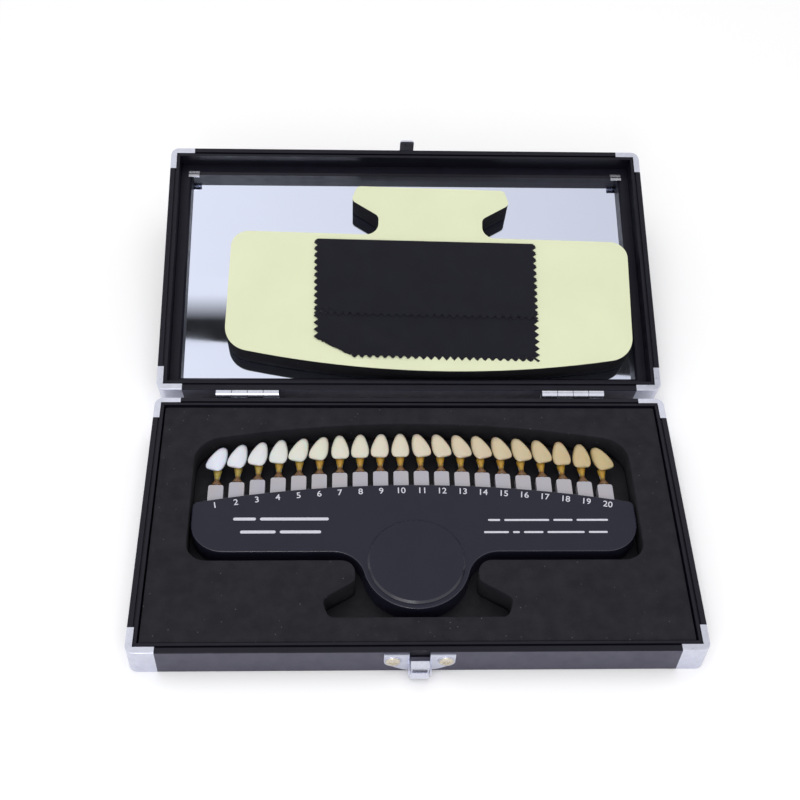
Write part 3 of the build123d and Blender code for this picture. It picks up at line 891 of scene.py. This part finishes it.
def crown_mesh(name, node):
    """An incisor: shield-shaped, thin and lobed at its biting edge, full at its neck."""
    s = sizes()
    middle, length, tilt = tooth_place(node)
    turn = Matrix.Rotation(-tilt, 4, "Z")
    slant = math.tan(s.tooth_lean * tilt)
    columns, last_row, rows = 44, 40, []
    for row in range(last_row + 1):
        share = 0.5 - 0.5 * math.cos(math.pi * (0.006 + 0.988 * row / last_row))
        wide, face, back = smooth_stations(CROWN_STATIONS, share)
        y = (share - 0.5) * length
        ring = []
        for column in range(columns):
            angle = 2 * math.pi * column / columns
            across, lift = math.cos(angle), math.sin(angle)
            x = squared(across, 0.86) * wide * s.tooth_width / 2
            z = squared(lift, 0.9) * (s.tooth_height * face if lift > 0 else s.tooth_depth * back)
            if lift > 0:
                lobes = math.cos(3.1 * math.pi * x / s.tooth_width)
                z += s.lobe_height * lobes * lift * max(0, 1 - share / 0.6) * min(1, share / 0.1)
            ring.append(turn @ Vector((x + slant * y, y, z)) + middle)
        rows.append(ring)
    return skinned(name, rows)


def stem_mesh(name, tab, shoulder):
    """A waisted stem over the tab's core: a flat flare at the block, round up to the tooth."""
    low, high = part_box(tab)
    middle = (low + high) / 2
    start, end = shoulder + STEM_START, high.y + STEM_LAP
    columns, last_row, rows = 32, 24, []
    for row in range(last_row + 1):
        share = row / last_row
        half, top, under = smooth_stations(STEM_STATIONS, share)
        square = 0.62 + 0.38 * min(1, share / 0.35)
        ring = []
        for column in range(columns):
            angle = 2 * math.pi * column / columns
            across, lift = math.cos(angle), math.sin(angle)
            height = top if lift > 0 else -under
            ring.append((middle.x + squared(across, square) * half * MM,
                         start + share * (end - start),
                         middle.z + squared(lift, square) * height * MM))
        rows.append(ring)
    return skinned(name, rows)


class SHADE_GUIDE_OT_mirror(bpy.types.Operator):
    """Finishes the lid's mirror and adds its two corner clips"""
    bl_idname = "shade_guide.mirror"
    bl_label = "Mirror and Clips"

    def execute(self, context):
        c, s = colours(), sizes()
        glass = surface("mirror_glass", c.glass, 0.03, spread=0.01, patch=50 * MM,
                        grain=25 * MM, rough=(0.015, 0.05), metallic=1.0)
        dress(glass, "mirror")
        clip = surface("clip_steel", c.clip, 0.3, spread=0.1, patch=1.5 * MM, grain=1 * MM,
                       grain_detail=3, rough=(0.2, 0.42), metallic=1.0)
        place = lid_place()
        to_local = place.inverted()
        bezel = [to_local @ v.co for v in nodes["mirror_bezel"].data.vertices]
        far, half = max(p.y for p in bezel), max(p.x for p in bezel)
        top = max(p.z for p in bezel)
        for side, word in ((-1, "left"), (1, "right")):
            mesh = bent_clip(f"mirror_clip_{word}", s.clip_width)
            mesh.transform(place @ Matrix.Translation(
                (side * (half - s.clip_inset), far - s.clip_reach, top)))
            add_piece(mesh.name, mesh, clip, "lid", smooth=False)
        return {"FINISHED"}


def bent_clip(name, width):
    """A small bent strip with a foot on the frame and a tongue towards the glass."""
    sheet = 0.4 * MM
    path = [(1.8, 0), (0.4, 0), (0.1, 0.1), (-0.2, 0.4), (-0.5, 0.5), (-1.9, 0.5)]
    corners = ((-width / 2, 0), (-width / 2, sheet), (width / 2, sheet), (width / 2, 0))
    return skinned(name, [[(x, y * MM, z * MM + lift) for x, lift in corners]
                          for y, z in path])


PINKING_REACH = 6 * MM


class SHADE_GUIDE_OT_cloth(bpy.types.Operator):
    """Models the pinked cleaning cloth, folded once, with one corner tucked under"""
    bl_idname = "shade_guide.cloth"
    bl_label = "Cleaning Cloth"

    def execute(self, context):
        c, s = colours(), sizes()
        place = lid_place()
        corners = sorted(face_outlines("cleaning_cloth", place.inverted())[0],
                         key=lambda p: p[1])
        left, right = (np.array(p) for p in sorted(corners[:2]))
        across = right - left
        width = np.linalg.norm(across)
        across /= width
        up = np.array((-across[1], across[0]))
        depth = max(np.dot(np.array(p) - left, up) for p in corners) + s.cloth_margin
        heights = [(place.inverted() @ v.co).z for v in nodes["cleaning_cloth"].data.vertices]
        base, room = min(heights), max(heights) - min(heights)
        layer = s.cloth_layer
        loop = (room - layer - 0.1 * MM) / 2
        lower = depth - loop - layer / 2
        length = lower + math.pi * loop + s.cloth_upper
        step = s.pinking_pitch / 4
        columns = np.linspace(-width / 2, width / 2, 4 * round(width / s.pinking_pitch) + 1)
        runs = list(np.arange(0, lower, step)) + list(
            lower + np.linspace(0, math.pi * loop, 9)) + list(
            np.arange(lower + math.pi * loop + step, length, step)) + [length]
        points = []
        for run in runs:
            for column in columns:
                x = column * (1 - s.pinking_depth * self.zigzag(run) / (width / 2))
                bite = s.pinking_depth * self.zigzag(column + width)
                near = max(0, 1 - run / PINKING_REACH)
                far = max(0, 1 - (length - run) / PINKING_REACH)
                along = run + bite * near - bite * far
                x, y, z = self.folded(x, along, lower, loop, layer, width)
                spread = s.cloth_margin * (0.5 - x / width) * y / depth
                spot = left + across * (x + width / 2 - spread) + up * y
                points.append((spot[0], spot[1], base + z))
        across_count = len(columns)
        faces = [(r * across_count + k, r * across_count + k + 1,
                  (r + 1) * across_count + k + 1, (r + 1) * across_count + k)
                 for r in range(len(runs) - 1) for k in range(across_count - 1)]
        mesh = bpy.data.meshes.new("folded_cloth")
        mesh.from_pydata([tuple(p) for p in points], [], faces)
        mesh.transform(place)
        weave = surface("black_cloth", c.cloth, 0.9, spread=0.12, patch=9 * MM,
                        patch_detail=4, specular=0.15)
        weave.relief(weave.weave(0.35 * MM, "X"), 0.03 * MM, 0.6)
        weave.relief(weave.weave(0.35 * MM, "Y"), 0.03 * MM, 0.6)
        weave.relief(weave.cloud(18 * MM, 2), 0.8 * MM, 0.35)
        weave.set("Sheen Weight", 0.15).set("Sheen Roughness", 0.5)
        # The cut edges are lighter: partly lint, partly a painted highlight where they catch the
        # light.
        lint_and_highlight = surface("cloth_edge", c.lint_and_highlight, 0.95, spread=0.35, patch=0.5 * MM, specular=0.1)
        cloth = add_piece("folded_cloth", mesh, weave, "lid")
        mesh.materials.append(lint_and_highlight.material)
        thick = cloth.modifiers.new("thickness", "SOLIDIFY")
        thick.thickness, thick.offset, thick.material_offset_rim = layer, 0, 1
        solid = baked(cloth)
        cloth.modifiers.clear()
        cloth.data = solid
        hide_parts("cleaning_cloth")
        return {"FINISHED"}

    def zigzag(self, run):
        """0 at a pinked tooth's tip, 1 at the notch between two."""
        share = (run / sizes().pinking_pitch) % 1
        return 2 * share if share < 0.5 else 2 - 2 * share

    def folded(self, x, along, lower, loop, layer, width):
        """Where a point of the flat cloth goes: x, y up the lid and z above the paper."""
        rest = layer / 2
        if along > lower + math.pi * loop:
            over = along - lower - math.pi * loop
            sag = noise.noise(Vector((x, over, 5 * MM)) / (16 * MM)) * 0.05 * MM
            return x, lower - over, rest + 2 * loop + sag
        if along > lower:
            turn = (along - lower) / loop
            return x, lower + loop * math.sin(turn), rest + loop * (1 - math.cos(turn))
        return self.tucked(x, along, rest, width)

    def tucked(self, x, y, rest, width):
        """The lower layer, whose near left corner is folded under along a slanted crease."""
        s = sizes()
        side, edge, bend = s.cloth_tuck_side, s.cloth_tuck_edge, 0.24 * MM
        normal = Vector((-side, -edge)).normalized()
        beyond = (Vector((x + width / 2, y)) - Vector((0, side))).dot(normal)
        if beyond < 0:
            lift = 1 - min(1, max(0, (-beyond - 10 * MM) / (8 * MM)))
            return x, y, rest + 2 * bend * lift * lift * (3 - 2 * lift)
        arc = math.pi * bend
        turn = min(1, beyond / arc) * math.pi
        back = bend * math.sin(turn) - max(0, beyond - arc)
        height = rest + bend + bend * math.cos(turn)
        return x + (back - beyond) * normal.x, y + (back - beyond) * normal.y, height


CAMERA_PLACE = (-29.09 * MM, -322.43 * MM, 489.34 * MM)
FLOOR_REACH = 6.0
# Name, height and corners of each card over the mirror, the axis along which its glow
# changes, and the place and the glow where the change starts and ends.
CARDS = (
    ("dark_band", 1.0, ((-1.2, 0.333), (1.2, 0.141), (1.2, 0.26), (-1.2, 0.39)),
     "Y", (0.280, 0.02), (0.312, 1.0)),
    ("pale_card", 1.02, ((-1.2, -0.1), (1.2, -0.1), (1.2, 0.6), (-1.2, 0.6)),
     "X", (-0.25, 1.0), (0.30, 0.80)))
# Name of each lamp, its power's option, its place, what it points at, its size, and whether
# it shows in reflections.
LAMPS = (
    ("overhead_softbox", "overhead", (0, 0.1, 1.3), (0, 0.05, 0), 1.2, False),
    ("front_softbox", "front_lamp", (-0.5, -1.0, 0.9), (0, 0, 0), 0.8, True),
    ("edge_lamp", "edge_lamp", (-0.15, -0.95, 0.75), (0, 0, 0), 0.22, True))


class SHADE_GUIDE_OT_studio(bpy.types.Operator):
    """Sets the pale floor, the soft lamps, the cards seen in the mirror, and the camera"""
    bl_idname = "shade_guide.studio"
    bl_label = "Studio"

    def execute(self, context):
        st = studio()
        scene = context.scene
        scene.view_settings.view_transform = "Standard"
        floor = surface("studio_floor", st.floor, 0.85, spread=0.006, patch=0.4, specular=0.1)
        seen = floor.add("ShaderNodeLightPath").outputs["Is Camera Ray"]
        floor.set("Emission Color", (1, 1, 1, 1))
        floor.join(floor.calculate("MULTIPLY", seen, st.floor_glow),
                   floor.shader.inputs["Emission Strength"])
        reach = FLOOR_REACH
        self.stage_sheet("studio_floor", 0, floor, (
            (-reach, -reach), (reach, -reach), (reach, reach), (-reach, reach)))
        for card in CARDS:
            self.reflected_card(*card)
        for name, option, spot, target, size, reflected in LAMPS:
            lamp = self.lamp(name, spot, target, size, getattr(st, option))
            lamp.visible_glossy = reflected
        self.sky(scene, st.ambient)
        camera_data = bpy.data.cameras.new("camera")
        camera_data.lens, camera_data.sensor_width = st.focal_length, 36
        camera_data.sensor_fit = "HORIZONTAL"
        camera_data.clip_start = 0.01
        camera = linked("camera", camera_data)
        camera.location = CAMERA_PLACE
        camera.rotation_mode = "ZYX"
        camera.rotation_euler = [math.radians(a) for a in (
            st.camera_pitch, st.camera_swing, st.camera_roll)]
        scene.camera = camera
        return {"FINISHED"}

    def stage_sheet(self, name, height, finish, corners):
        """A level sheet of the studio, from its four corners."""
        mesh = mesh_from(name, [(*corner, height) for corner in corners], [(0, 1, 2, 3)])
        mesh.materials.append(finish.material)
        piece = linked(name, mesh)
        return piece

    def reflected_card(self, name, height, corners, axis, start, end):
        """A card seen only in reflections, whose glow changes from one place to another."""
        card = Finish(name, (0, 0, 0), 1.0, specular=0.0)
        card.set("Emission Color", (1, 1, 1, 1))
        (start, start_glow), (end, end_glow) = start, end
        card.join(card.along(axis, start, end, start_glow, end_glow),
                  card.shader.inputs["Emission Strength"])
        piece = self.stage_sheet(name, height, card, corners)
        piece.visible_camera = piece.visible_diffuse = piece.visible_shadow = False

    def lamp(self, name, spot, target, size, power):
        data = bpy.data.lights.new(name, "AREA")
        data.size, data.energy = size, power
        lamp = linked(name, data)
        lamp.location = spot
        lamp.rotation_euler = (Vector(target) - Vector(spot)).to_track_quat("-Z", "Y").to_euler()
        return lamp

    def sky(self, scene, ambient):
        """White behind the object and in its reflections, and softer as a light."""
        world = bpy.data.worlds.new("studio")
        world.use_nodes = True
        scene.world = world
        wiring = Wiring(world.node_tree)
        back = wiring.tree.nodes["Background"]
        back.inputs["Color"].default_value = (1, 1, 1, 1)
        rays = wiring.add("ShaderNodeLightPath").outputs
        seen = rays["Is Camera Ray"]
        for other in ("Is Glossy Ray", "Is Transmission Ray"):
            seen = wiring.calculate("MAXIMUM", seen, rays[other])
        wiring.join(wiring.between(seen, ambient, 1.0), back.inputs["Strength"])


OPERATORS = (
    SHADE_GUIDE_OT_case, SHADE_GUIDE_OT_metal, SHADE_GUIDE_OT_foam, SHADE_GUIDE_OT_plate,
    SHADE_GUIDE_OT_tabs, SHADE_GUIDE_OT_mirror, SHADE_GUIDE_OT_cloth, SHADE_GUIDE_OT_studio)


class SHADE_GUIDE_PT_panel(bpy.types.Panel):
    """Lists the steps that dress the shade guide"""
    bl_label = "Shade Guide"
    bl_idname = "SHADE_GUIDE_PT_panel"
    bl_space_type = "VIEW_3D"
    bl_region_type = "UI"
    bl_category = "Shade Guide"

    def draw(self, context):
        for operator in OPERATORS:
            self.layout.operator(operator.bl_idname)


GROUPS = (
    ("shade_guide_colours", ShadeGuideColours), ("shade_guide_sizes", ShadeGuideSizes),
    ("shade_guide_studio", ShadeGuideStudio))


def register():
    for name, group in GROUPS:
        bpy.utils.register_class(group)
        setattr(bpy.types.Scene, name, bpy.props.PointerProperty(type=group))
    for kind in (*OPERATORS, SHADE_GUIDE_PT_panel):
        bpy.utils.register_class(kind)


def unregister():
    for kind in (SHADE_GUIDE_PT_panel, *reversed(OPERATORS)):
        bpy.utils.unregister_class(kind)
    for name, group in reversed(GROUPS):
        delattr(bpy.types.Scene, name)
        bpy.utils.unregister_class(group)


def main():
    register()
    for operator in OPERATORS:
        category, call = operator.bl_idname.split(".")
        getattr(getattr(bpy.ops, category), call)()


if __name__ == "__main__":
    main()
